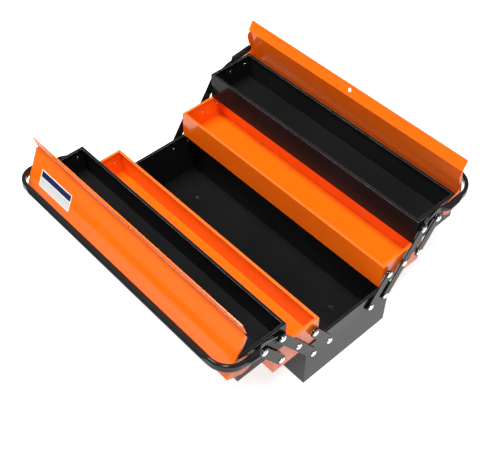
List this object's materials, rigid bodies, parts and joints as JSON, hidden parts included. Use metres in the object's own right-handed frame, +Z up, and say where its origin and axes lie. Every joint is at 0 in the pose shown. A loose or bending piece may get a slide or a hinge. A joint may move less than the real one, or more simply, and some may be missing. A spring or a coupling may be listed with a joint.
{
  "type": "cantilever tool box",
  "caption": "Opened-out cantilever tool box: a base tub, stepped swinging trays on flat end links, two hinged roof lids and two tube carrying handles.",
  "frame": {"origin": "on the floor under the middle of the base tub, between the four pressed feet", "axes": "+X along the box, -Y towards the front trays, +Z up; the box is stored opened out"},
  "size_m": [0.526, 0.5574, 0.2816],
  "materials": {
    "orange_paint": "gloss",
    "black_paint": "gloss",
    "bright_zinc": "polished"
  },
  "bodies": {
    "base": {"base_tub": "black_paint", "base_rivets": "bright_zinc", "base_spacers": "bright_zinc"},
    "front_inner_links": {"front_inner_link_left": "black_paint", "front_inner_link_right": "black_paint"},
    "front_long_links": {"front_long_link_left": "black_paint", "front_long_link_right": "black_paint"},
    "front_outer_links": {"front_outer_link_left": "black_paint", "front_outer_link_right": "black_paint"},
    "front_middle": {"front_middle_tray": "orange_paint", "front_middle_rivets": "bright_zinc", "front_middle_spacers": "bright_zinc"},
    "front_upper": {"front_upper_tray": "black_paint", "front_upper_rivets": "bright_zinc", "front_upper_spacers": "bright_zinc", "front_lid_rivets": "bright_zinc"},
    "front_lid_body": {"front_lid": "orange_paint"},
    "front_handle_body": {"front_handle": "black_paint"},
    "rear_inner_links": {"rear_inner_link_left": "black_paint", "rear_inner_link_right": "black_paint"},
    "rear_long_links": {"rear_long_link_left": "black_paint", "rear_long_link_right": "black_paint"},
    "rear_outer_links": {"rear_outer_link_left": "black_paint", "rear_outer_link_right": "black_paint"},
    "rear_middle": {"rear_middle_tray": "orange_paint", "rear_middle_rivets": "bright_zinc", "rear_middle_spacers": "bright_zinc"},
    "rear_upper": {"rear_upper_tray": "black_paint", "rear_upper_rivets": "bright_zinc", "rear_upper_spacers": "bright_zinc", "rear_lid_rivets": "bright_zinc"},
    "rear_lid_body": {"rear_lid": "orange_paint"},
    "rear_handle_body": {"rear_handle": "black_paint"}
  },
  "joints": [
    {"name": "front_swing", "type": "hinge", "parent": "base", "child": "front_inner_links", "pos_m": [0, -0.04855, 0.0798], "axis": [-1, 0, 0], "range_deg": [0, 66.46]},
    {"name": "front_middle_level", "type": "hinge", "parent": "front_inner_links", "child": "front_middle", "pos_m": [0, -0.08445, 0.1346], "axis": [-1, 0, 0], "range_deg": [-66.46, 0]},
    {"name": "front_outer_swing", "type": "hinge", "parent": "front_middle", "child": "front_outer_links", "pos_m": [0, -0.15625, 0.1346], "axis": [-1, 0, 0], "range_deg": [0, 66.46]},
    {"name": "front_upper_level", "type": "hinge", "parent": "front_outer_links", "child": "front_upper", "pos_m": [0, -0.19215, 0.1894], "axis": [-1, 0, 0], "range_deg": [-66.46, 0]},
    {"name": "front_long_swing", "type": "hinge", "parent": "base", "child": "front_long_links", "pos_m": [0, -0.08445, 0.0798], "axis": [-1, 0, 0], "range_deg": [0, 66.46]},
    {"name": "front_lid_close", "type": "hinge", "parent": "front_upper", "child": "front_lid_body", "pos_m": [0, -0.22805, 0.1894], "axis": [-1, 0, 0], "range_deg": [0, 65.6]},
    {"name": "front_handle_lift", "type": "hinge", "parent": "front_upper", "child": "front_handle_body", "pos_m": [0, -0.15625, 0.1894], "axis": [-1, 0, 0], "range_deg": [0, 74.4]},
    {"name": "rear_swing", "type": "hinge", "parent": "base", "child": "rear_inner_links", "pos_m": [0, 0.04855, 0.0798], "axis": [1, 0, 0], "range_deg": [0, 66.46]},
    {"name": "rear_middle_level", "type": "hinge", "parent": "rear_inner_links", "child": "rear_middle", "pos_m": [0, 0.08445, 0.1346], "axis": [1, 0, 0], "range_deg": [-66.46, 0]},
    {"name": "rear_outer_swing", "type": "hinge", "parent": "rear_middle", "child": "rear_outer_links", "pos_m": [0, 0.15625, 0.1346], "axis": [1, 0, 0], "range_deg": [0, 66.46]},
    {"name": "rear_upper_level", "type": "hinge", "parent": "rear_outer_links", "child": "rear_upper", "pos_m": [0, 0.19215, 0.1894], "axis": [1, 0, 0], "range_deg": [-66.46, 0]},
    {"name": "rear_long_swing", "type": "hinge", "parent": "base", "child": "rear_long_links", "pos_m": [0, 0.08445, 0.0798], "axis": [1, 0, 0], "range_deg": [0, 66.46]},
    {"name": "rear_lid_close", "type": "hinge", "parent": "rear_upper", "child": "rear_lid_body", "pos_m": [0, 0.22805, 0.1894], "axis": [1, 0, 0], "range_deg": [0, 77.6]},
    {"name": "rear_handle_lift", "type": "hinge", "parent": "rear_upper", "child": "rear_handle_body", "pos_m": [0, 0.15625, 0.1894], "axis": [1, 0, 0], "range_deg": [0, 74.4]}
  ],
  "couplings": [
    {"joint": "front_middle_level", "follows": "front_swing", "ratio": -1},
    {"joint": "front_outer_swing", "follows": "front_swing", "ratio": 1},
    {"joint": "front_upper_level", "follows": "front_swing", "ratio": -1},
    {"joint": "front_long_swing", "follows": "front_swing", "ratio": 1},
    {"joint": "front_handle_lift", "follows": "front_lid_close", "ratio": 1.1341},
    {"joint": "rear_middle_level", "follows": "rear_swing", "ratio": -1},
    {"joint": "rear_outer_swing", "follows": "rear_swing", "ratio": 1},
    {"joint": "rear_upper_level", "follows": "rear_swing", "ratio": -1},
    {"joint": "rear_long_swing", "follows": "rear_swing", "ratio": 1},
    {"joint": "rear_handle_lift", "follows": "rear_lid_close", "ratio": 0.9587}
  ]
}
